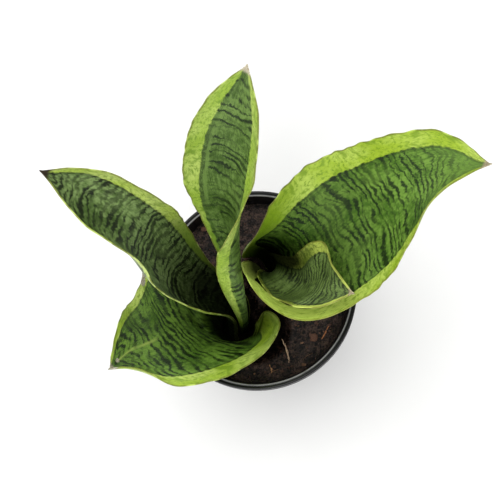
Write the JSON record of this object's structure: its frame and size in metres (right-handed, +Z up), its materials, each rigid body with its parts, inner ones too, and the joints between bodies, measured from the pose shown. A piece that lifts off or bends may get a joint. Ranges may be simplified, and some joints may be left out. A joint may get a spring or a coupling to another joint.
{
  "type": "potted snake plant",
  "caption": "Snake plant with broad, trough-shaped banded leaves in loose shoots, growing from dark potting soil in a round black nursery pot with a flat rim.",
  "frame": {"origin": "on the pot's axis, at the underside of its base", "axes": "+Z up along the pot's axis; +X towards the side the broad leaf leans to; +Y towards the side the tall leaf leans to, away from the short front leaf"},
  "size_m": [0.2227, 0.1394, 0.3013],
  "materials": {
    "pot": "satin",
    "soil": "matte",
    "leaf": "satin",
    "fibre": "matte",
    "bark": "matte"
  },
  "bodies": {
    "root": {"pot": "pot", "potting_soil": "soil", "leaf_broad_right": "leaf", "leaf_young_right": "leaf", "leaf_tall_centre": "leaf", "leaf_long_left": "leaf", "leaf_short_front": "leaf", "fibre_pale": "fibre", "fibre_orange": "fibre", "fibre_short": "fibre", "bark_chip_back": "bark", "bark_chip_right": "bark"}
  },
  "joints": []
}
